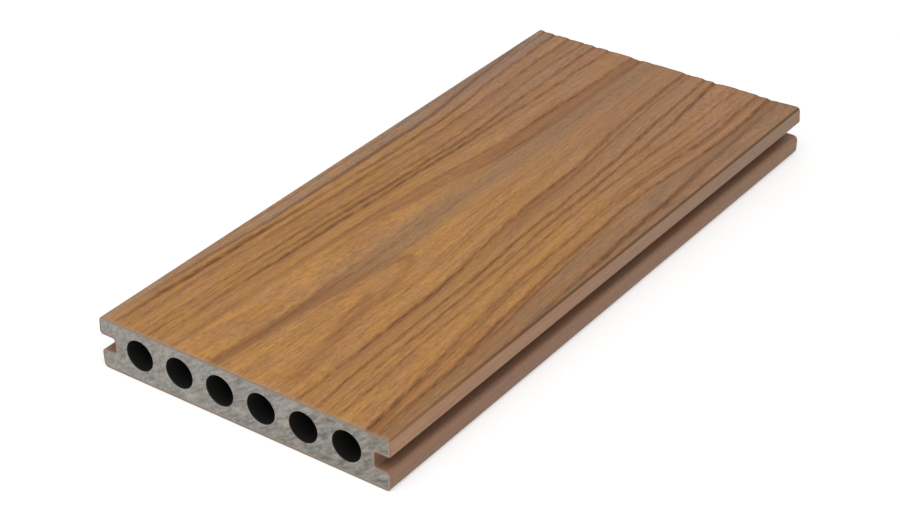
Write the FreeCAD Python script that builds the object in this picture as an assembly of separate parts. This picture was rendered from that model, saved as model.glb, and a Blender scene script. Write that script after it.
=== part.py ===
import FreeCAD, Part
import math
import os

# Short length of hollow composite decking board, sawn square at both ends.
# Millimetres. X runs across the width, Y along the length and Z up. The
# origin is at the middle of the underside.

# Whole board
board_width = 140.0
board_thickness = 23.0
board_length = 300.0

# Skin extruded round the core, grooves included
cap_thickness = 1.2

# Clip groove in each edge, with a lip over it and a flange under it
groove_depth = 7.5
groove_height = 6.4
flange_thickness = 8.6
flange_setback = 0.4

# How far each edge face leans in over its own height
lip_lean = 0.4
flange_lean = 0.4

# Corner radii of the outside, from the top of the section down
arris_radius = 1.8
lip_corner_radius = 1.5
groove_corner_radius = 1.0
flange_corner_radius = 2.2
foot_corner_radius = 2.0

# Round bores that run from end to end, and the wall between the outermost
# ones and the clip grooves
bore_count = 6
bore_diameter = 13.4
bore_axis_height = 12.1
side_wall = 6.0


def unit(vector):
    """Return the vector at length one."""
    return vector.multiply(1.0 / vector.Length)


def rounded_corner(before, corner, after, radius):
    """Return the start, middle and end of the arc that rounds a corner."""
    to_before = unit(before.sub(corner))
    to_after = unit(after.sub(corner))
    half_angle = to_before.getAngle(to_after) / 2.0
    setback = radius / math.tan(half_angle)
    depth = radius / math.sin(half_angle) - radius
    bisector = unit(to_before.add(to_after))
    start = corner.add(FreeCAD.Vector(to_before).multiply(setback))
    middle = corner.add(FreeCAD.Vector(bisector).multiply(depth))
    end = corner.add(FreeCAD.Vector(to_after).multiply(setback))
    return start, middle, end


def half_section_corners():
    """List x, z and radius of the corners of the right half, foot to arris."""
    lip_x = board_width / 2.0
    flange_x = lip_x - flange_setback
    groove_x = lip_x - groove_depth
    groove_top = flange_thickness + groove_height
    return [
        (flange_x - flange_lean, 0.0, foot_corner_radius),
        (flange_x, flange_thickness, flange_corner_radius),
        (groove_x, flange_thickness, groove_corner_radius),
        (groove_x, groove_top, groove_corner_radius),
        (lip_x, groove_top, lip_corner_radius),
        (lip_x - lip_lean, board_thickness, arris_radius),
    ]


def outer_face():
    """Return the outline of the whole section, in the plane of the near end."""
    right = half_section_corners()
    left = [(-x, z, radius) for x, z, radius in reversed(right)]
    corners = right + left
    end_y = -board_length / 2.0
    points = [FreeCAD.Vector(x, end_y, z) for x, z, radius in corners]
    arcs = []
    for index, (x, z, radius) in enumerate(corners):
        before = points[index - 1]
        after = points[(index + 1) % len(points)]
        arcs.append(rounded_corner(before, points[index], after, radius))
    edges = []
    for index, (start, middle, end) in enumerate(arcs):
        next_start = arcs[(index + 1) % len(arcs)][0]
        edges.append(Part.Arc(start, middle, end).toShape())
        edges.append(Part.LineSegment(end, next_start).toShape())
    return Part.Face(Part.Wire(edges))


def inner_face():
    """Return the outline of the core, one skin thickness inside the outside."""
    return outer_face().makeOffset2D(-cap_thickness)


def extruded(face):
    """Run a section from one sawn end to the other."""
    return face.extrude(FreeCAD.Vector(0.0, board_length, 0.0))


def bore_positions():
    """List the x of each bore's axis, evenly spaced between the side walls."""
    last = board_width / 2.0 - groove_depth - side_wall - bore_diameter / 2.0
    pitch = 2.0 * last / (bore_count - 1)
    return [pitch * index - last for index in range(bore_count)]


def bore(x):
    """Return the cylinder that one bore takes out."""
    mouth = FreeCAD.Vector(x, -board_length / 2.0, bore_axis_height)
    along = FreeCAD.Vector(0.0, 1.0, 0.0)
    return Part.makeCylinder(bore_diameter / 2.0, board_length, mouth, along)


def hollow_core():
    """Make the grey core: the section inside the skin, less the bores."""
    core = extruded(inner_face())
    return core.cut([bore(x) for x in bore_positions()])


def wood_grain_cap():
    """Make the brown skin, of one thickness all the way round the core."""
    return extruded(outer_face().cut(inner_face()))


def export_piece(name, shape):
    """Write one piece as a STEP file named after it."""
    solid = shape.Solids[0]
    if len(shape.Solids) != 1 or not solid.isValid():
        raise ValueError(name + " is not one valid solid")
    solid.exportStep("parts/" + name + ".step")


os.makedirs("parts", exist_ok=True)
export_piece("hollow_core", hollow_core())
export_piece("wood_grain_cap", wood_grain_cap())
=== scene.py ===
import math

import bmesh
import bpy
import numpy as np
from mathutils import Matrix, Vector


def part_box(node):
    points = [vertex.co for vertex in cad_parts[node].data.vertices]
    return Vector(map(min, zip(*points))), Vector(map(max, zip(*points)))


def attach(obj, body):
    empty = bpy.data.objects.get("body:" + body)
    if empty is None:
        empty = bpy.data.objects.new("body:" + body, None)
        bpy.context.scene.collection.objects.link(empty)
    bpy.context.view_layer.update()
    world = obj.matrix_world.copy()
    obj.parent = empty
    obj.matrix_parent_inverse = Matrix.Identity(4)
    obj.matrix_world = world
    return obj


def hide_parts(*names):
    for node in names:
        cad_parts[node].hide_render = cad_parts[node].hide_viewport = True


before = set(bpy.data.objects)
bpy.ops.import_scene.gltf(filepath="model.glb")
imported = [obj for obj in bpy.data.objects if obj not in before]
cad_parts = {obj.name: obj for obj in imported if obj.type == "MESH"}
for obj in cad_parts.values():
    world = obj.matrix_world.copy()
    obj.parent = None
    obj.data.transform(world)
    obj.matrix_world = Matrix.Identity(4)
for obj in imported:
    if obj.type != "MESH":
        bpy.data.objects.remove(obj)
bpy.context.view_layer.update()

# A short piece of hollow composite decking board, lying on a pale floor. The
# grey core keeps its own mesh and gets a sawn, mottled finish. The brown cap
# is modelled again, with the embossed wood grain in its walked-on face.

MM = 0.001
cap_low, cap_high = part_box("wood_grain_cap")

# Section of the board, in millimetres
board_length = (cap_high.y - cap_low.y) / MM
board_thickness = (cap_high.z - cap_low.z) / MM
board_width = 140.0
cap_thickness = 1.2
groove_depth = 7.5
groove_height = 6.4
flange_thickness = 8.6
flange_setback = 0.4
lip_lean = 0.4
flange_lean = 0.4
foot_radius = 2.0
flange_radius = 2.2
groove_radius = 1.0
lip_radius = 1.5
arris_radius = 1.8
corner_segments = 6
groove_top = flange_thickness + groove_height
far_end = board_length / 2.0
near_end = -far_end

# Bores of the core, in millimetres, with the pale rim round each at a sawn
# end and the depth over which painted shade darkens its mouth to black
bore_pitch = 19.92
bore_count = 6
bore_radius = 6.7
bore_height = 12.1
bore_rim = 0.7
bore_shade_depth = 0.8

# How finely the cap is divided, and the angle from which an edge is sharp
cuts_across = 330
cuts_along = 165
sharp_angle = math.radians(40.0)

# Embossing of the walked-on face, in millimetres: its full depth, the margin
# in which it grows to that, and the width of the steep side of a line. A
# line's depth follows this power of its strength.
emboss_depth = 0.7
emboss_margin = 1.6
valley_drop = 1.8
valley_power = 1.5

# Shares of the full depth to which the hearts of the lines, the arches and
# the thin lines are sunk, and how strongly the lines' stains shade the wood
heart_depth = 0.3
arch_depth = 0.4
fine_line_depth = 0.5
stain_shade = 0.6

# Depths below the face between which the printed grain fades out on the
# arris, in millimetres
print_full_depth = 0.5
print_end_depth = 1.2

# Reach of painted shade and of wear on the skin, in millimetres: from the far end,
# where the wood is darkened as painted shade, and from the near end, where it is
# frayed and the dark arris line grows faint. Then where that line fades beside the
# arris, how far out of a groove its painted shade reaches, and how deep a sawn edge is tan.
far_painted_shade_length = 1.4
frayed_length = 2.0
arris_fading_length = 90.0
arris_line_fade = (0.3, 1.2)
groove_painted_shade_reach = 5.0
tan_depth = 2.0

# An embossed line lies below the face, so from above its near right corner
# it is seen a little further right than it is
seen_shift = 0.4

# Grain figure of the walked-on face. Each guide is a grain line, given by its
# x in millimetres at even steps from the near end to the far end. Everything
# else in the figure lies between guides and bends with them.
GRAIN_GUIDES = {
    "left edge": (-71.0, -71.0, -71.0, -71.0, -71.0, -71.0, -71.0),
    "left margin": (-65.0, -63.9, -61.4, -60.7, -60.6, -65.0, -68.5),
    "left dark line": (-61.6, -59.9, -57.6, -55.1, -54.4, -58.1, -60.2),
    "left second line": (-56.4, -55.2, -53.1, -50.9, -48.8, -50.6, -52.0),
    "left third line": (-48.1, -46.8, -44.8, -41.9, -40.5, -43.6, -44.0),
    "left pair": (-44.7, -43.4, -41.2, -38.6, -36.3, -37.2, -37.7),
    "left pair inner": (-40.6, -39.9, -37.7, -35.7, -33.2, -31.1, -30.2),
    "flare outer side": (-32.8, -31.9, -30.0, -26.5, -20.4, -18.6, -16.8),
    "flare inner side": (-32.0, -30.2, -28.0, -19.5, -13.6, -12.4, -12.4),
    "pith band left": (-15.0, -11.8, -12.2, -13.0, -12.0, -11.0, -11.0),
    "pith band right": (-10.5, -6.5, -2.5, -3.0, -2.0, -3.0, -2.0),
    "right dark line": (27.8, 26.7, 25.0, 19.2, 17.4, 12.6, 11.1),
    "right second line": (36.2, 33.5, 32.6, 29.9, 28.5, 24.9, 21.6),
    "right pair": (41.2, 38.3, 36.7, 34.4, 32.8, 31.2, 26.2),
    "right middle": (46.0, 43.6, 41.6, 38.3, 37.4, 38.7, 39.2),
    "right bow": (59.8, 54.6, 49.4, 47.2, 46.0, 49.8, 49.1),
    "right outer": (63.8, 61.9, 56.8, 53.6, 52.6, 56.1, 54.8),
    "right margin": (70.0, 69.5, 68.2, 65.5, 63.6, 61.1, 59.6),
    "right edge": (71.5, 71.5, 71.5, 71.5, 71.5, 71.5, 71.5),
}

# Dark lines of the figure: where each lies at mid-length, its half width,
# how far its stain trails to the right (to the left where negative), all in
# millimetres, and its strength at even steps from the near to the far end. A
# strength over one makes the line wider as well.
GRAIN_LINES = (
    (-66.4, 0.7, -1.0, (0.1, 0.2, 0.4, 0.4, 0.4, 0.1, 0.0)),
    (-60.7, 1.2, -1.5, (0.1, 0.8, 1.4, 1.8, 2.1, 1.0, 0.3)),
    (-58.8, 0.6, 1.5, (0.0, 0.0, 0.0, 0.0, 0.0, 0.3, 0.8)),
    (-55.1, 0.9, 0.8, (0.5, 1.9, 0.8, 0.8, 0.8, 0.8, 0.9)),
    (-53.0, 0.4, 1.0, (0.3, 0.1, 0.0, 0.0, 0.1, 0.1, 0.2)),
    (-50.9, 0.9, 1.5, (0.4, 0.6, 0.8, 0.7, 0.8, 0.6, 0.9)),
    (-49.0, 0.4, 1.0, (0.2, 0.3, 0.3, 0.2)),
    (-45.9, 1.4, 1.0, (0.2, 0.2, 0.3, 0.6, 0.2, 0.2, 0.3)),
    (-41.9, 1.0, 1.2, (0.4, 0.5, 0.9, 0.6, 0.7, 0.4, 0.7)),
    (-40.4, 0.4, 1.0, (0.2, 0.1, 0.1, 0.0, 0.2)),
    (-38.6, 0.8, 1.0, (0.7, 0.5, 0.8, 1.4, 0.9, 0.7, 0.9)),
    (-35.7, 0.8, 1.8, (0.5, 0.8, 1.2, 1.2, 1.0, 0.8, 0.7)),
    (-32.8, 0.5, -1.0, (0.3, 0.2, 0.2, 0.3, 0.1)),
    (-26.5, 0.8, 4.0, (0.3, 0.3, 0.5, 0.4, 0.6, 0.9, 0.7)),
    (-19.5, 1.0, -1.5, (0.0, 0.0, 0.0, 0.0, 1.0, 0.5, 1.0)),
    (-12.5, 0.8, 2.0, (0.2, 0.4, 0.2, 0.3, 0.2)),
    (-9.2, 1.1, 2.0, (0.5, 0.6, 0.2, 0.2, 0.1)),
    (-6.5, 0.9, -1.5, (0.0, 0.2, 0.0, 0.5, 0.2, 0.5, 0.4)),
    (-3.2, 0.8, -2.5, (0.2, 0.3, 0.4, 0.1, 0.1, 0.1, 0.1)),
    (4.0, 0.4, 1.0, (0.2, 0.1, 0.2, 0.1, 0.2)),
    (9.8, 0.6, 1.0, (0.1, 0.2, 0.2, 0.4, 0.2, 0.2, 0.1)),
    (12.0, 0.4, 0.8, (0.2, 0.2, 0.4, 0.5, 0.2, 0.2, 0.1)),
    (19.2, 1.0, 3.0, (0.7, 0.9, 1.0, 0.8, 0.8, 0.8, 0.7)),
    (21.9, 0.6, 1.0, (0.1, 0.1, 0.1, 0.2, 0.7, 0.5, 0.7)),
    (29.9, 0.8, 1.4, (0.7, 0.8, 1.0, 0.9, 0.9, 0.9, 1.0)),
    (32.0, 0.4, 1.0, (0.2, 0.1, 0.1, 0.1)),
    (34.4, 0.9, 1.2, (0.4, 0.6, 0.8, 0.7, 1.0, 0.9, 1.3)),
    (36.2, 0.5, 1.0, (0.3, 0.2, 0.1, 0.1)),
    (38.3, 0.7, 1.4, (0.4, 0.7, 0.5, 0.6, 0.6, 0.7, 0.5)),
    (42.0, 0.4, 1.0, (0.4, 0.1, 0.1, 0.1, 0.1, 0.3, 0.3)),
    (44.6, 0.5, 1.0, (0.3, 0.2, 0.2, 0.1, 0.4, 0.7, 0.2)),
    (47.2, 0.9, 2.2, (1.5, 0.8, 0.8, 0.6, 0.7, 0.9, 1.0)),
    (48.9, 0.6, 1.0, (0.3, 0.4, 0.6, 0.1, 0.6, 0.3, 0.4)),
    (53.6, 0.9, 1.8, (0.8, 1.1, 0.9, 1.0, 0.8, 1.2, 1.1)),
    (55.9, 0.7, 1.2, (0.5, 0.3, 1.1, 0.4, 0.1, 0.2, 0.3)),
    (58.7, 0.5, 1.0, (0.3, 0.2, 0.0, 0.5, 0.1, 0.1, 0.3)),
    (61.0, 0.5, 1.2, (0.3, 0.3, 0.4, 0.1, 0.1, 0.2, 0.2)),
    (65.5, 1.2, 2.5, (0.0, 0.1, 0.8, 1.2, 1.3, 0.9, 0.5)),
)

# Legs of the two nested arches, where the growth rings are cut through their
# crown: y at the top and at the foot, x at even steps between, half width
# and strength
ARCH_LEGS = (
    (-46.0, -98.0, (2.0, -3.0, -4.5, -8.5), 1.6, 0.9),
    (-46.0, -84.0, (3.5, 8.0, 10.5, 11.5), 2.4, 0.75),
    (-77.0, -99.0, (5.0, 0.4, -2.6, -5.0), 0.9, 0.5),
    (-78.0, -148.0, (8.5, 10.5, 13.0, 16.2, 18.0, 18.6), 3.5, 0.9),
    (-77.0, -150.0, (5.2, 6.6, 8.8, 13.0, 16.0, 16.8, 17.2), 0.7, 0.65),
)

# Shares of a leg's length, counted from its top, over which it starts, and
# over which it fades out where its foot is short of the near end
leg_start = (-0.02, 0.04)
leg_end = (0.8, 1.02)

# Broad tones: the two sides at mid-length, the softness of the sides, and
# the strength at even steps from the near end to the far end
GREY_BANDS = (
    (-71.0, -60.7, 1.2, (0.9, 0.9, 0.8, 0.8, 0.8, 0.8, 0.9)),
    (-60.7, -55.1, 1.5, (0.1, 0.1, 0.1, 0.1, 0.2, 0.7, 0.9)),
    (-41.9, -38.6, 1.5, (0.0, 0.0, 0.0, 0.0, 0.2, 0.6, 0.6)),
    (-15.0, -2.5, 4.5, (0.0, 0.2, 0.9, 0.9, 0.9, 0.9, 0.9)),
    (21.5, 29.5, 2.0, (0.0, 0.1, 0.2, 0.3, 0.4, 0.4, 0.3)),
    (55.0, 71.4, 2.0, (0.6, 0.7, 0.8, 0.9, 0.9, 0.8, 0.8)),
)
DARK_BANDS = (
    (-38.6, -35.7, 1.0, (0.1, 0.2, 0.3, 0.2, 0.2, 0.2, 0.2)),
    (-26.5, -19.5, 1.5, (0.1, 0.1, 0.4, 0.7, 0.8, 0.8, 0.9)),
    (-13.0, -3.0, 2.2, (0.8, 0.9, 0.3, 0.1, 0.1, 0.1, 0.1)),
    (19.2, 26.0, 2.0, (0.1, 0.2, 0.0, 0.8, 0.6, 0.1, 0.0)),
    (47.2, 53.6, 1.2, (0.7, 0.5, 0.1, 0.0, 0.0, 0.0, 0.1)),
    (53.6, 71.4, 1.5, (0.3, 0.3, 0.5, 0.1, 0.0, 0.1, 0.1)),
)

# Wander of the drawn lines from their guides, and ripple of their strength:
# how much, millimetres to the radian, and radians further on from line to line
line_wanders = ((0.22, 9.0, 2.1), (0.12, 3.7, 4.3))
line_ripple = (0.12, 17.0, 1.7)

# Thin lines between the drawn ones: gaps and half widths in millimetres,
# millimetres to the radian of their waves, their full strength, and the
# shares of it that they take
fine_line_seed = 11
fine_line_gaps = (0.9, 2.4)
fine_line_half_widths = (0.2, 0.5)
fine_line_waves = (14.0, 40.0)
fine_line_strength = 0.22
fine_line_shares = (0.3, 1.0)

# Streaks of the fine grain: width and length in millimetres, and detail
STREAKS = {
    "broad": (5.0, 70.0, 2.0),
    "drift": (6.0, 18.0, 3.0),
    "patch": (3.0, 12.0, 3.0),
    "ring": (1.4, 34.0, 3.0),
    "hair": (0.6, 9.0, 2.0),
    "fibre": (0.5, 7.0, 3.0),
    "fleck": (0.6, 2.6, 3.0),
    "film": (0.8, 60.0, 3.0),
    "ruddy": (2.5, 22.0, 2.0),
    "speck": (0.8, 1.6, 3.0),
}

# Saw marks of an end: their slant up to the right, and how many there are to
# the millimetre along them, into the end and across them
saw_slant = math.radians(34.0)
saw_mark_scale = (0.14, 0.0, 0.55)

# Floor and light: how far the floor reaches each way and how far it lies below
# the board, in metres, how pale it is to the lamps and to the camera, its glow
# to the camera, and the strength of the light from all round
floor_reach = 4.0
floor_drop = 0.0002
lit_paleness = 0.8
shown_paleness = 0.62
shown_glow = 0.48
ambient_strength = 0.53

# Camera: its direction and roll in degrees, its place in metres and its lens
# in millimetres
camera_azimuth = 36.33
camera_elevation = 31.94
camera_roll = -0.87
camera_place = (0.45942, -0.64295, 0.48863)
sensor_width = 36.0
lens_length = 89.1


# Shapes of the grain figure


def at_even_steps(steps, start, end, y):
    """Return the smooth value at y of numbers given evenly from start to end."""
    values = np.array(steps, float)
    first = 2.0 * values[0] - values[1]
    last = 2.0 * values[-1] - values[-2]
    padded = np.concatenate(([first], values, [last]))
    place = np.clip((y - start) / (end - start), 0.0, 1.0) * (len(values) - 1)
    index = np.minimum(np.floor(place).astype(int), len(values) - 2)
    t = place - index
    a, b, c, d = (padded[index + k] for k in range(4))
    linear = (c - a) * t
    square = (2.0 * a - 5.0 * b + 4.0 * c - d) * t ** 2
    cube = (3.0 * b - a - 3.0 * c + d) * t ** 3
    return b + (linear + square + cube) / 2.0


def along_board(steps, y):
    """Return the smooth value at y of numbers given from end to end."""
    return at_even_steps(steps, near_end, far_end, y)


def smooth_step(value, low, high):
    """Return 0 below low and 1 above high, with an even bend between."""
    t = np.clip((value - low) / (high - low), 0.0, 1.0)
    return t * t * (3.0 - 2.0 * t)


def overlay(parts):
    """Lay several darknesses over one another, none of them past 1."""
    light = 1.0
    for part in parts:
        light = light * (1.0 - np.minimum(part, 1.0))
    return 1.0 - light


class GrainFigure:
    """The grain over the points x, y of the walked-on face, in millimetres."""

    def __init__(self, x, y):
        self.x = x
        self.y = y
        self.places = [steps[len(steps) // 2] for steps in GRAIN_GUIDES.values()]
        self.guides = [along_board(steps, y) for steps in GRAIN_GUIDES.values()]

    def line_at(self, place):
        """Return the x, at each point's y, of the line through this place."""
        after = next((k for k, p in enumerate(self.places) if p > place), -1)
        low, high = self.places[after - 1], self.places[after]
        share = (place - low) / (high - low)
        return self.guides[after - 1] * (1.0 - share) + self.guides[after] * share

    def across(self):
        """Return the place at mid-length of the grain through each point."""
        result = np.array(self.x)
        for k in range(1, len(self.places)):
            left, right = self.guides[k - 1], self.guides[k]
            share = (self.x - left) / np.maximum(right - left, 0.01)
            inside = (self.x >= left) & (self.x < right)
            place = self.places[k - 1] + share * (self.places[k] - self.places[k - 1])
            result = np.where(inside, place, result)
        return result

    def wave(self, number, reach, length, step):
        """Return a wave along the board, further on from line to line."""
        return reach * np.sin(self.y / length + step * number)

    def drawn_lines(self):
        """Yield each drawn line: its offset, half width, trail and strength."""
        for number, (place, half_width, trail, strengths) in enumerate(GRAIN_LINES):
            wander = sum(self.wave(number, *sizes) for sizes in line_wanders)
            offset = self.x - self.line_at(place) - wander + seen_shift
            strength = np.maximum(along_board(strengths, self.y), 0.0)
            ripple = 1.0 - line_ripple[0] + self.wave(number, *line_ripple)
            yield offset, half_width, trail, strength * ripple

    def line_hearts(self):
        """Return how dark the middles of the drawn lines are."""
        return overlay(
            strength * np.exp(-(offset / half_width) ** 2)
            for offset, half_width, trail, strength in self.drawn_lines())

    def line_stains(self):
        """Return how far the lines stain the wood beside them."""
        return overlay(
            strength * np.exp(-np.abs(offset / trail)) * smooth_step(offset / trail, -0.8, 0.0)
            for offset, half_width, trail, strength in self.drawn_lines())

    def line_valleys(self):
        """Return how deep the face lies: it drops at each line, then rises gently."""
        parts = []
        for offset, half_width, trail, strength in self.drawn_lines():
            aside = offset * math.copysign(1.0, trail)
            past = np.maximum(aside - valley_drop / 2.0, 0.0)
            rise = np.exp(-past / (abs(trail) + valley_drop / 2.0))
            drop = smooth_step(aside, -valley_drop / 2.0, valley_drop / 2.0)
            parts.append(strength ** valley_power * drop * rise)
        return overlay(parts)

    def fine_lines(self):
        """Return how dark the thin lines between the drawn ones are."""
        random = np.random.default_rng(fine_line_seed)
        across = self.across()
        parts = []
        place = -board_width / 2.0
        while place < board_width / 2.0:
            strength = fine_line_strength * random.uniform(*fine_line_shares)
            half_width = random.uniform(*fine_line_half_widths)
            phase = random.uniform(0.0, math.tau)
            wave = 0.5 + 0.5 * np.sin(self.y / random.uniform(*fine_line_waves) + phase)
            parts.append(strength * wave * np.exp(-((across - place) / half_width) ** 2))
            place += random.uniform(*fine_line_gaps)
        return overlay(parts)

    def arches(self):
        """Return how dark the legs of the nested arches are."""
        parts = []
        for top, foot, steps, half_width, strength in ARCH_LEGS:
            middle = at_even_steps(steps, top, foot, self.y)
            down = (top - self.y) / (top - foot)
            present = smooth_step(down, *leg_start)
            if foot > near_end:
                present *= 1.0 - smooth_step(down, *leg_end)
            line = np.exp(-((self.x - middle) / half_width) ** 2)
            parts.append(strength * present * line)
        return overlay(parts)

    def bands(self, bands):
        """Return the strength of a list of broad bands."""
        parts = []
        for left, right, softness, strengths in bands:
            from_left = smooth_step(self.x - self.line_at(left), -softness, softness)
            from_right = smooth_step(self.line_at(right) - self.x, -softness, softness)
            strength = np.clip(along_board(strengths, self.y), 0.0, 1.0)
            parts.append(strength * from_left * from_right)
        return overlay(parts)

    def darkness(self):
        """Return how dark the lines are, drawn and thin."""
        return overlay((self.line_hearts(), self.fine_lines()))

    def shading(self):
        """Return how strongly the wood between the lines is shaded."""
        return overlay((self.bands(DARK_BANDS), self.arches(), stain_shade * self.line_stains()))

    def depth(self):
        """Return how deep the face is sunk, as a share of the full depth."""
        return overlay((
            self.line_valleys(), heart_depth * self.line_hearts(),
            arch_depth * self.arches(), fine_line_depth * self.fine_lines()))


# Meshes and objects


def finish_mesh(bm, name):
    """Turn a bmesh into a mesh of this name, and free it."""
    mesh = bpy.data.meshes.new(name)
    bm.to_mesh(mesh)
    bm.free()
    return mesh


def put_in_scene(name, data):
    """Put a new object with this data in the scene."""
    placed = bpy.data.objects.new(name, data)
    bpy.context.scene.collection.objects.link(placed)
    return placed


def store(mesh, name, kind, field, rows):
    """Store a row of values for each point of a mesh."""
    stored = mesh.attributes.new(name, kind, "POINT")
    stored.data.foreach_set(field, rows.ravel())


# Cap


def section_corners():
    """List x, z and radius of the section's corners, from the right foot up."""
    lip_x = board_width / 2.0
    flange_x = lip_x - flange_setback
    groove_x = lip_x - groove_depth
    right = [
        (flange_x - flange_lean, 0.0, foot_radius),
        (flange_x, flange_thickness, flange_radius),
        (groove_x, flange_thickness, groove_radius),
        (groove_x, groove_top, groove_radius),
        (lip_x, groove_top, lip_radius),
        (lip_x - lip_lean, board_thickness, arris_radius),
    ]
    return right + [(-x, z, radius) for x, z, radius in reversed(right)]


def draw_outline(bm):
    """Draw the rounded outline of the section in the plane of the near end."""
    corners = section_corners()
    points = [Vector((x, near_end, z)) * MM for x, z, radius in corners]
    radii = [radius * MM for x, z, radius in corners]
    verts = [bm.verts.new(point) for point in points]
    for k in range(len(verts)):
        bm.edges.new((verts[k - 1], verts[k]))
    for k, radius in enumerate(radii):
        before = points[k - 1] - points[k]
        after = points[(k + 1) % len(points)] - points[k]
        setback = radius / math.tan(before.angle(after) / 2.0)
        bmesh.ops.bevel(
            bm, geom=[verts[k]], offset=setback, offset_type="OFFSET",
            segments=corner_segments, profile=0.5, affect="VERTICES", material=-1)


def draw_skin(bm):
    """Draw the skin's section at the near end, and return its outer and inner points."""
    draw_outline(bm)
    top_edge = max(bm.edges, key=lambda e: e.verts[0].co.z + e.verts[1].co.z)
    bmesh.ops.subdivide_edges(bm, edges=[top_edge], cuts=cuts_across)
    section = bmesh.ops.edgeloop_fill(bm, edges=bm.edges[:])["faces"][0]
    bmesh.ops.inset_region(
        bm, faces=[section], thickness=cap_thickness * MM, use_boundary=True,
        use_even_offset=True)
    inner = set(section.verts)
    outer = [v for v in bm.verts if v not in inner]
    bmesh.ops.delete(bm, geom=[section], context="FACES_ONLY")
    return outer, inner


def run_to_far_end(bm, outer, inner):
    """Run the skin's section to the far end, and divide its outside along the board."""
    run = bmesh.ops.extrude_face_region(bm, geom=bm.faces[:])
    far_verts = [v for v in run["geom"] if isinstance(v, bmesh.types.BMVert)]
    bmesh.ops.translate(bm, verts=far_verts, vec=(0.0, board_length * MM, 0.0))
    in_end = set(outer).union(inner)
    lengthwise = [e for v in outer for e in v.link_edges if not in_end.issuperset(e.verts)]
    bmesh.ops.subdivide_edges(
        bm, edges=lengthwise, cuts=cuts_along, use_grid_fill=True)
    bmesh.ops.recalc_face_normals(bm, faces=bm.faces[:])


def cap_shell():
    """Make the plain cap: the section's skin, run from end to end."""
    bm = bmesh.new()
    skin_depth = bm.verts.layers.float.new("skin_depth")
    outer, inner = draw_skin(bm)
    for vert in inner:
        vert[skin_depth] = 1.0
    run_to_far_end(bm, outer, inner)
    for face in bm.faces:
        face.smooth = True
    for edge in bm.edges:
        edge.smooth = edge.calc_face_angle() < sharp_angle
    return bm


def emboss(mesh):
    """Sink the grain into the walked-on face, and store its figure."""
    points = np.empty(len(mesh.vertices) * 3)
    mesh.vertices.foreach_get("co", points)
    points = points.reshape(-1, 3) / MM
    x, y, z = points.T
    figure = GrainFigure(x, y)
    near_top = smooth_step(z, board_thickness - print_end_depth, board_thickness - print_full_depth)
    grain = np.stack((figure.across(), y, np.where(near_top > 0.5, 0.0, z)), axis=1)
    store(mesh, "grain", "FLOAT_VECTOR", "vector", grain)
    tones = (figure.darkness(), figure.bands(GREY_BANDS), figure.shading(), near_top)
    store(mesh, "figure", "FLOAT_COLOR", "color", np.stack(tones, axis=1))

    on_top = z > board_thickness - 0.01
    in_from_side = board_width / 2.0 - np.abs(x)
    margin = smooth_step(in_from_side, arris_radius, arris_radius + emboss_margin)
    points[:, 2] -= emboss_depth * figure.depth() * margin * on_top
    mesh.vertices.foreach_set("co", (points * MM).ravel())


def make_cap():
    """Make the embossed cap, which stands for the plain one."""
    mesh = finish_mesh(cap_shell(), "embossed_cap")
    emboss(mesh)
    return put_in_scene("embossed_cap", mesh)


# Node helpers


def paint(red, green, blue):
    """Return a colour, given as its picture values, as the shader takes it."""
    linear = []
    for value in (red, green, blue):
        share = value / 255.0
        linear.append(share / 12.92 if share < 0.04045 else ((share + 0.055) / 1.055) ** 2.4)
    return (*linear, 1.0)


def add(tree, kind, inputs=None, **settings):
    """Add a shader node and give its inputs values or links."""
    node = tree.nodes.new("ShaderNode" + kind)
    for name, value in settings.items():
        setattr(node, name, value)
    for name, value in (inputs or {}).items():
        if isinstance(value, bpy.types.NodeSocket):
            tree.links.new(value, node.inputs[name])
        else:
            node.inputs[name].default_value = value
    return node


def calculate(tree, operation, *values):
    """Return the result of a Math node."""
    node = add(tree, "Math", dict(enumerate(values)), operation=operation)
    return node.outputs[0]


def spread_range(tree, value, low, high, to_low=0.0, to_high=1.0):
    """Return the value with low to high spread smoothly over a new range."""
    inputs = {0: value, 1: low, 2: high, 3: to_low, 4: to_high}
    node = add(tree, "MapRange", inputs, interpolation_type="SMOOTHSTEP")
    return node.outputs[0]


def blend_colours(tree, share, first, second, blend_type="MIX"):
    """Return two colours mixed by a share."""
    inputs = {0: share, 6: first, 7: second}
    node = add(tree, "Mix", inputs, data_type="RGBA", blend_type=blend_type)
    return node.outputs[2]


def tint(tree, colour, value):
    """Return a colour made lighter or darker by a value near one."""
    grey = add(tree, "CombineColor", {0: value, 1: value, 2: value}).outputs[0]
    return blend_colours(tree, 1.0, colour, grey, "MULTIPLY")


def new_group(name, inputs, outputs):
    """Start a shader node group with named inputs and outputs."""
    tree = bpy.data.node_groups.new(name, "ShaderNodeTree")
    for label, socket in inputs.items():
        tree.interface.new_socket(name=label, in_out="INPUT", socket_type="NodeSocket" + socket)
    for label, socket in outputs.items():
        tree.interface.new_socket(name=label, in_out="OUTPUT", socket_type="NodeSocket" + socket)
    return tree, tree.nodes.new("NodeGroupInput"), tree.nodes.new("NodeGroupOutput")


def use_group(tree, group, inputs):
    """Place a node group in a material and give its inputs values or links."""
    return add(tree, "Group", inputs, node_tree=group)


def new_material(name):
    """Start a material and return it with its tree and Principled shader."""
    material = bpy.data.materials.new(name)
    material.use_nodes = True
    tree = material.node_tree
    return material, tree, tree.nodes["Principled BSDF"]


def object_millimetres(tree):
    """Return the object's own coordinates, in millimetres."""
    place = add(tree, "TexCoord").outputs["Object"]
    scaled = add(tree, "VectorMath", {0: place, "Scale": 1.0 / MM}, operation="SCALE")
    return scaled.outputs[0]


def roughen(tree, shader, height, depth):
    """Roughen the surface by a height from 0 to 1, this many millimetres deep."""
    bump = add(tree, "Bump", {"Height": height, "Distance": depth * MM, "Strength": 1.0})
    tree.links.new(bump.outputs[0], shader.inputs["Normal"])


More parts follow.
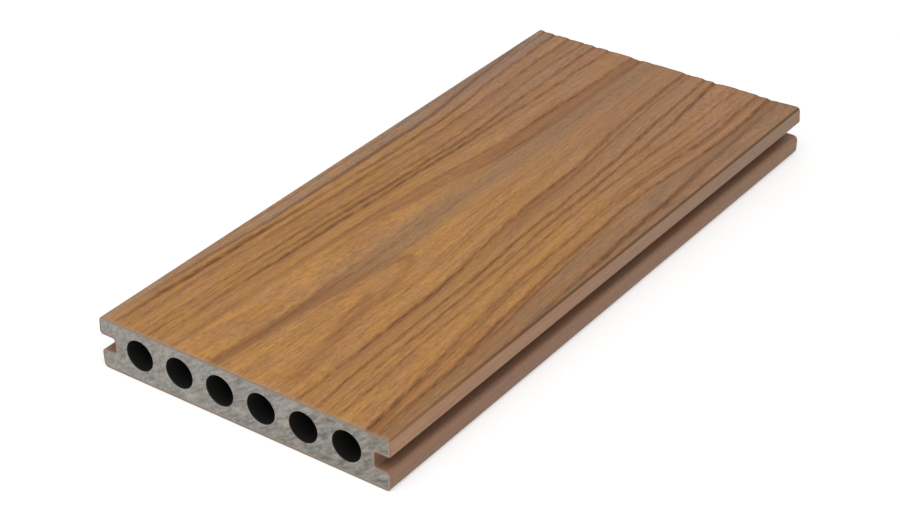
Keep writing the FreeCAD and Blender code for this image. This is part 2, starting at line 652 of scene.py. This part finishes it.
# Colours of the walked-on face
golden_wood = paint(181, 130, 67)
far_golden_wood = paint(166, 122, 83)
pink_wood = paint(176, 127, 77)
far_pink_wood = paint(160, 119, 88)
ring_brown = paint(146, 94, 40)
shade_brown = paint(136, 87, 43)
margin_grey = paint(159, 132, 110)
far_margin_grey = paint(138, 121, 111)
middle_grey = paint(147, 115, 84)
right_grey = paint(132, 103, 78)
hair_brown = paint(124, 80, 36)
line_brown = paint(102, 60, 24)
frayed_tan = paint(165, 138, 112)

# Colours of the cap's sides and of its sawn edge
lip_brown = paint(162, 124, 93)
far_lip_brown = paint(146, 119, 98)
# Flange browns: the lip's skin given a darker brown as painted shade
shaded_flange_brown = paint(137, 105, 85)
far_shaded_flange_brown = paint(142, 111, 88)
ruddy_brown = paint(150, 104, 76)
arris_brown = paint(96, 66, 40)
# Dark brown of the sawn edge's outer rim, painted shade of the rounded edges
rind_painted_shade_brown = paint(122, 95, 77)
rind_tan = paint(162, 136, 112)
cut_tan = paint(151, 130, 114)
cut_grey = paint(146, 138, 129)

# Colours of the core
cool_grey = paint(145, 145, 141)
right_cool_grey = paint(135, 133, 128)
warm_grey = paint(147, 140, 131)
right_warm_grey = paint(139, 130, 119)
# Painted shade of the bores: grey at the mouth, black further in
mouth_painted_shade_grey = paint(60, 57, 52)
bore_painted_shade_black = paint(17, 16, 14)


# Effects that the finishes share


def cloudy(tree, place, scale, detail, distortion):
    """Return soft clouds, from 0 to 1."""
    inputs = {"Vector": place, "Scale": scale, "Detail": detail, "Distortion": distortion}
    noise = add(tree, "TexNoise", inputs).outputs[0]
    return spread_range(tree, noise, 0.28, 0.72)


def streak_group():
    """Streaks drawn out along the board, from 0 to 1."""
    tree, given, result = new_group(
        "drawn_streaks",
        {"Place": "Vector", "Width": "Float", "Length": "Float", "Detail": "Float"},
        {"Tone": "Float"})
    narrow = calculate(tree, "DIVIDE", 1.0, given.outputs["Width"])
    long = calculate(tree, "DIVIDE", 1.0, given.outputs["Length"])
    scale = add(tree, "CombineXYZ", {0: narrow, 1: long, 2: narrow}).outputs[0]
    place = add(tree, "VectorMath", {0: given.outputs["Place"], 1: scale}, operation="MULTIPLY")
    tone = cloudy(tree, place.outputs[0], 1.0, given.outputs["Detail"], 0.0)
    tree.links.new(tone, result.inputs["Tone"])
    return tree


def sawn_group():
    """Marks that the saw leaves across an end, slanting up to the right."""
    tree, given, result = new_group(
        "sawn_end", {"Place": "Vector", "Scoring": "Float"},
        {"Tone": "Float", "Hue": "Float", "Height": "Float"})
    place = given.outputs["Place"]
    turned = add(
        tree, "VectorRotate",
        {"Vector": place, "Axis": (0.0, 1.0, 0.0), "Angle": saw_slant}).outputs[0]
    drawn_out = add(
        tree, "VectorMath", {0: turned, 1: saw_mark_scale}, operation="MULTIPLY").outputs[0]
    marks = cloudy(tree, drawn_out, 1.0, 2.0, 0.8)
    specks = cloudy(tree, place, 0.8, 4.0, 0.4)
    patches = cloudy(tree, place, 0.2, 3.0, 1.0)
    hue = cloudy(tree, place, 0.35, 2.0, 0.8)
    scored = add(tree, "Mix", {0: given.outputs["Scoring"], 2: specks, 3: marks}).outputs[0]
    clouded = calculate(tree, "MULTIPLY_ADD", patches, 0.3, calculate(tree, "MULTIPLY", scored, 0.55))
    tone = calculate(tree, "MULTIPLY_ADD", specks, 0.15, clouded)
    height = calculate(tree, "MULTIPLY_ADD", marks, 0.6, calculate(tree, "MULTIPLY", specks, 0.4))
    tree.links.new(tone, result.inputs["Tone"])
    tree.links.new(hue, result.inputs["Hue"])
    tree.links.new(height, result.inputs["Height"])
    return tree


# Finishes

streaks = streak_group()
sawn = sawn_group()


def sawn_share(tree):
    """Return 1 on the two sawn ends and 0 on every other face."""
    normal = add(tree, "NewGeometry").outputs["True Normal"]
    along = add(tree, "SeparateXYZ", {0: normal}).outputs[1]
    return calculate(tree, "GREATER_THAN", calculate(tree, "ABSOLUTE", along), 0.9)


def streak_tone(tree, place, kind):
    """Return streaks of this kind, from 0 to 1."""
    width, length, detail = STREAKS[kind]
    inputs = {"Place": place, "Width": width, "Length": length, "Detail": detail}
    return use_group(tree, streaks, inputs).outputs["Tone"]


def plain_wood(tree, distance, grain, drift, ring):
    """Colour plain wood: golden, with pink drifts and brown growth rings."""
    far_half = spread_range(tree, distance, 0.4, 1.0)
    golden = blend_colours(tree, far_half, golden_wood, far_golden_wood)
    pink = blend_colours(tree, far_half, pink_wood, far_pink_wood)
    pinkness = spread_range(tree, drift, 0.2, 0.9, 0.0, 0.9)
    wood = blend_colours(tree, pinkness, golden, pink)
    broad = streak_tone(tree, grain, "broad")
    wood = tint(tree, wood, spread_range(tree, broad, 0.0, 1.0, 0.95, 1.05))
    ringed = spread_range(tree, ring, 0.0, 1.0, 0.4, 0.0)
    return blend_colours(tree, ringed, wood, ring_brown)


def band_colour(tree, distance, x):
    """Colour the grey bands: pale at the left margin, browner to the right."""
    toward_far = spread_range(tree, distance, 0.0, 0.7)
    margin = blend_colours(tree, toward_far, margin_grey, far_margin_grey)
    toward_right = spread_range(tree, x, 20.0, 50.0)
    middle = blend_colours(tree, toward_right, middle_grey, right_grey)
    past_margin = spread_range(tree, x, -66.0, -45.0)
    return blend_colours(tree, past_margin, margin, middle)


def fine_marks(tree, wood, dark, grain, patch, fibre):
    """Mark the wood with hairs, with its dark lines, and with fibres and flecks."""
    hair = streak_tone(tree, grain, "hair")
    hairs = calculate(tree, "MULTIPLY", spread_range(tree, hair, 0.6, 1.0, 0.0, 0.5), patch)
    wood = blend_colours(tree, hairs, wood, hair_brown)
    ragged = calculate(tree, "MULTIPLY", dark, spread_range(tree, fibre, 0.0, 1.0, 1.05, 0.4))
    wood = blend_colours(tree, ragged, wood, line_brown)
    wood = tint(tree, wood, spread_range(tree, fibre, 0.0, 1.0, 0.88, 1.11))
    fleck = streak_tone(tree, grain, "fleck")
    wood = tint(tree, wood, spread_range(tree, fleck, 0.0, 0.5, 0.86, 1.0))
    return tint(tree, wood, spread_range(tree, fleck, 0.5, 1.0, 1.0, 1.08))


def wood_colour(tree, tones, distance, x, grain, fibre):
    """Colour the walked-on face, with its drawn figure and its own fine grain."""
    dark, grey, shade = tones
    drift = streak_tone(tree, grain, "drift")
    patch = streak_tone(tree, grain, "patch")
    ring = streak_tone(tree, grain, "ring")
    wood = plain_wood(tree, distance, grain, drift, ring)
    shaded = calculate(tree, "MULTIPLY", shade, spread_range(tree, ring, 0.0, 1.0, 0.9, 0.6))
    wood = blend_colours(tree, shaded, wood, shade_brown)
    in_drifts = spread_range(tree, drift, 0.1, 0.9, 1.0, 0.5)
    in_patches = spread_range(tree, patch, 0.1, 0.8, 0.55, 1.0)
    blotched = calculate(tree, "MULTIPLY", in_drifts, in_patches)
    greyed = calculate(tree, "MULTIPLY", grey, blotched)
    wood = blend_colours(tree, greyed, wood, band_colour(tree, distance, x))
    return fine_marks(tree, wood, dark, grain, patch, fibre)


def far_shade_and_near_fray(tree, wood, y):
    """Darken the wood right at the far end as painted shade, and fray it at the near end."""
    # Painted shade: the wood darkens over the last stretch before the far end
    far_end_shade = spread_range(tree, y, far_end - far_painted_shade_length, far_end, 1.0, 0.75)
    frayed = spread_range(tree, y, near_end, near_end + frayed_length, 0.5, 0.0)
    return blend_colours(tree, frayed, tint(tree, wood, far_end_shade), frayed_tan)


def side_colour(tree, distance, place, x, z):
    """Colour the lips, clip grooves, flanges and underside, with painted shade below the lips and in
    the grooves.
    """
    lip = blend_colours(tree, distance, lip_brown, far_lip_brown)
    # Painted shade: below the lip the same skin is given a darker brown
    low = blend_colours(tree, distance, shaded_flange_brown, far_shaded_flange_brown)
    above_groove = spread_range(tree, z, groove_top - 0.5, groove_top + 1.5)
    side = blend_colours(tree, above_groove, low, lip)
    film = streak_tone(tree, place, "film")
    side = tint(tree, side, spread_range(tree, film, 0.0, 1.0, 0.93, 1.06))
    ruddy = spread_range(tree, streak_tone(tree, place, "ruddy"), 0.2, 0.9, 0.0, 0.35)
    side = blend_colours(tree, ruddy, side, ruddy_brown)
    speck = streak_tone(tree, place, "speck")
    side = tint(tree, side, spread_range(tree, speck, 0.0, 1.0, 0.95, 1.05))
    # Painted shade in the clip grooves: darkest at a groove's back, fading out over its reach, and as
    # dark over the underside
    from_middle = calculate(tree, "ABSOLUTE", x)
    groove_back = board_width / 2.0 - groove_depth
    shaded = spread_range(tree, from_middle, groove_back, groove_back + groove_painted_shade_reach, 0.75, 1.0)
    return tint(tree, side, shaded)


def arris_line(tree, x, y, z):
    """Return the dark line along the arrises, fainter at the left and toward the near end."""
    from_middle = calculate(tree, "ABSOLUTE", x)
    out = calculate(tree, "SUBTRACT", from_middle, board_width / 2.0 - lip_lean)
    round_arris = calculate(tree, "ADD", out, calculate(tree, "SUBTRACT", board_thickness, z))
    from_arris = calculate(tree, "ABSOLUTE", round_arris)
    line = spread_range(tree, from_arris, *arris_line_fade, 1.0, 0.0)
    line = calculate(tree, "MULTIPLY", line, spread_range(tree, x, -60.0, 60.0, 0.3, 1.0))
    fading = spread_range(tree, y, near_end, near_end + arris_fading_length, 0.4, 1.0)
    return calculate(tree, "MULTIPLY", line, fading)


def cut_edge_colour(tree, tone, z):
    """Colour the cap's sawn edge: dark brown at its outer rim as painted shade, tan near the top, and
    as grey as the core inside.
    """
    depth = add(tree, "Attribute", attribute_name="skin_depth").outputs["Fac"]
    under_top = spread_range(tree, z, board_thickness - tan_depth, board_thickness - cap_thickness)
    # Painted shade: the outer rim of the sawn edge is dark brown, but tan near the top
    rind = blend_colours(tree, under_top, rind_painted_shade_brown, rind_tan)
    edge = blend_colours(tree, spread_range(tree, depth, 0.1, 0.5), rind, cut_tan)
    edge = blend_colours(tree, spread_range(tree, depth, 0.5, 1.0), edge, cut_grey)
    return tint(tree, edge, spread_range(tree, tone, 0.0, 1.0, 0.86, 1.12))


def cap_finish():
    """Brown skin: printed and embossed grain on top, plain on the sides."""
    material, tree, shader = new_material("cap_skin")
    grain = add(tree, "Attribute", attribute_name="grain").outputs["Vector"]
    figure = add(tree, "Attribute", attribute_name="figure")
    tones = add(tree, "SeparateColor", {0: figure.outputs["Color"]}).outputs
    on_top = figure.outputs["Alpha"]
    place = object_millimetres(tree)
    x, y, z = add(tree, "SeparateXYZ", {0: place}).outputs
    distance = spread_range(tree, y, near_end, far_end)
    fibre = streak_tone(tree, grain, "fibre")
    wood = far_shade_and_near_fray(tree, wood_colour(tree, tones, distance, x, grain, fibre), y)
    skin = blend_colours(tree, on_top, side_colour(tree, distance, place, x, z), wood)
    skin = blend_colours(tree, arris_line(tree, x, y, z), skin, arris_brown)
    cut = sawn_share(tree)
    marks = use_group(tree, sawn, {"Place": place, "Scoring": 0.5}).outputs
    colour = blend_colours(tree, cut, skin, cut_edge_colour(tree, marks["Tone"], z))
    tree.links.new(colour, shader.inputs["Base Color"])
    gloss = spread_range(tree, fibre, 0.0, 1.0, 0.55, 0.68)
    tree.links.new(gloss, shader.inputs["Roughness"])
    shader.inputs["Specular IOR Level"].default_value = 0.35
    rough = calculate(tree, "MULTIPLY", fibre, on_top)
    roughen(tree, shader, calculate(tree, "MULTIPLY_ADD", cut, marks["Height"], rough), 0.1)
    return material


def core_end_colour(tree, marks, x):
    """Colour the core's sawn ends: mottled and scored, darker to the right."""
    to_right = spread_range(tree, x, -20.0, 65.0)
    cool = blend_colours(tree, to_right, cool_grey, right_cool_grey)
    warm = blend_colours(tree, to_right, warm_grey, right_warm_grey)
    grey = blend_colours(tree, marks["Hue"], cool, warm)
    contrast = calculate(tree, "MULTIPLY_ADD", to_right, 0.2, 0.95)
    centred = calculate(tree, "SUBTRACT", marks["Tone"], 0.5)
    return tint(tree, grey, calculate(tree, "MULTIPLY_ADD", centred, contrast, 1.0))


def from_bore_axis(tree, x, z):
    """Return how far each point is from the axis of its nearest bore."""
    last_bore = bore_count / 2.0 - 1.0
    nearest = calculate(tree, "ROUND", calculate(tree, "MULTIPLY_ADD", x, 1.0 / bore_pitch, -0.5))
    nearest = calculate(tree, "MAXIMUM", nearest, -last_bore - 1.0)
    nearest = calculate(tree, "MINIMUM", nearest, last_bore)
    axis_x = calculate(tree, "MULTIPLY", calculate(tree, "ADD", nearest, 0.5), bore_pitch)
    sideways = calculate(tree, "SUBTRACT", x, axis_x)
    upwards = calculate(tree, "SUBTRACT", z, bore_height)
    from_axis = add(tree, "CombineXYZ", {0: sideways, 1: upwards}).outputs[0]
    return add(tree, "VectorMath", {0: from_axis}, operation="LENGTH").outputs["Value"]


def core_finish():
    """Grey composite: mottled and saw-marked ends, bores painted black as shade."""
    material, tree, shader = new_material("core_composite")
    place = object_millimetres(tree)
    x, y, z = add(tree, "SeparateXYZ", {0: place}).outputs
    scoring = spread_range(tree, x, -80.0, 20.0, 0.4, 1.0)
    marks = use_group(tree, sawn, {"Place": place, "Scoring": scoring}).outputs
    radius = from_bore_axis(tree, x, z)
    rim = spread_range(tree, radius, bore_radius, bore_radius + bore_rim, 1.06, 1.0)
    grey = tint(tree, core_end_colour(tree, marks, x), rim)
    # Painted shade: the bore walls are coloured black, a little greyer right at the mouth
    depth = calculate(tree, "SUBTRACT", far_end, calculate(tree, "ABSOLUTE", y))
    deeper_shade = spread_range(tree, depth, 0.0, bore_shade_depth)
    painted_bore_shade = blend_colours(tree, deeper_shade, mouth_painted_shade_grey, bore_painted_shade_black)
    colour = blend_colours(tree, sawn_share(tree), painted_bore_shade, grey)
    tree.links.new(colour, shader.inputs["Base Color"])
    shader.inputs["Roughness"].default_value = 0.8
    shader.inputs["Specular IOR Level"].default_value = 0.25
    roughen(tree, shader, marks["Height"], 0.12)
    return material


def seen_by_camera(tree):
    """Return 1 for a ray that shows the surface as a picture or reflection."""
    path = add(tree, "LightPath").outputs
    seen = calculate(tree, "MAXIMUM", path["Is Camera Ray"], path["Is Glossy Ray"])
    return calculate(tree, "MAXIMUM", seen, path["Is Transmission Ray"])


def plain_grey(value):
    """Return a grey of this brightness, as the shader takes it."""
    return (value, value, value, 1.0)


def floor_finish():
    """Pale floor that shows white, with the board's soft shadow on it."""
    material, tree, shader = new_material("pale_floor")
    tree.nodes.remove(shader)
    lit = add(tree, "BsdfDiffuse", {"Color": plain_grey(lit_paleness)})
    shown = add(tree, "BsdfDiffuse", {"Color": plain_grey(shown_paleness)})
    glow = add(tree, "Emission", {"Color": plain_grey(1.0), "Strength": shown_glow})
    pale = add(tree, "AddShader", {0: shown.outputs[0], 1: glow.outputs[0]}).outputs[0]
    mixed = add(tree, "MixShader", {0: seen_by_camera(tree), 1: lit.outputs[0], 2: pale})
    tree.links.new(mixed.outputs[0], tree.nodes["Material Output"].inputs["Surface"])
    return material


# Setting


def make_floor():
    """Lay a wide plain floor just under the board."""
    bm = bmesh.new()
    bmesh.ops.create_grid(bm, x_segments=1, y_segments=1, size=floor_reach)
    bmesh.ops.translate(bm, verts=bm.verts, vec=(0.0, 0.0, -floor_drop))
    mesh = finish_mesh(bm, "floor")
    mesh.materials.append(floor_finish())
    return put_in_scene("floor", mesh)


def add_softbox(name, location, size, power):
    """Hang a square softbox that points at the middle of the board."""
    light = bpy.data.lights.new(name, "AREA")
    light.shape = "SQUARE"
    light.size = size
    light.energy = power
    softbox = put_in_scene(name, light)
    softbox.location = location
    softbox.rotation_euler = (-Vector(location)).to_track_quat("-Z", "Y").to_euler()


def light_studio():
    """Light the board evenly from all round, a little more from above."""
    world = bpy.data.worlds.new("studio")
    bpy.context.scene.world = world
    world.use_nodes = True
    tree = world.node_tree
    white = plain_grey(1.0)
    ambient = add(tree, "Background", {"Color": white, "Strength": ambient_strength}).outputs[0]
    backdrop = add(tree, "Background", {"Color": white, "Strength": 1.0}).outputs[0]
    mixed = add(tree, "MixShader", {0: seen_by_camera(tree), 1: ambient, 2: backdrop})
    tree.links.new(mixed.outputs[0], tree.nodes["World Output"].inputs["Surface"])
    add_softbox("overhead", (0.3, -0.5, 1.6), 1.2, 12.0)
    add_softbox("front_right", (1.2, -0.9, 0.6), 0.8, 4.2)
    add_softbox("front_left", (-0.8, -1.4, 0.5), 0.8, 5.0)


def place_camera():
    """Look at the board from above its near right corner."""
    azimuth = math.radians(camera_azimuth)
    elevation = math.radians(camera_elevation)
    roll = math.radians(camera_roll)
    level = math.cos(elevation)
    back = Vector((math.sin(azimuth) * level, -math.cos(azimuth) * level, math.sin(elevation)))
    flat_right = Vector((math.cos(azimuth), math.sin(azimuth), 0.0))
    flat_up = back.cross(flat_right)
    right = flat_right * math.cos(roll) + flat_up * math.sin(roll)
    up = flat_up * math.cos(roll) - flat_right * math.sin(roll)
    lens = bpy.data.cameras.new("camera")
    lens.sensor_width = sensor_width
    lens.lens = lens_length
    camera = put_in_scene("camera", lens)
    turn = Matrix((right, up, back)).transposed().to_4x4()
    camera.matrix_world = Matrix.Translation(camera_place) @ turn
    bpy.context.scene.camera = camera


cap = make_cap()
cap.data.materials.append(cap_finish())
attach(cap, "root")
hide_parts("wood_grain_cap")

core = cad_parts["hollow_core"]
core.material_slots[0].material = core_finish()

make_floor()
light_studio()
place_camera()
bpy.context.scene.view_settings.view_transform = "Standard"
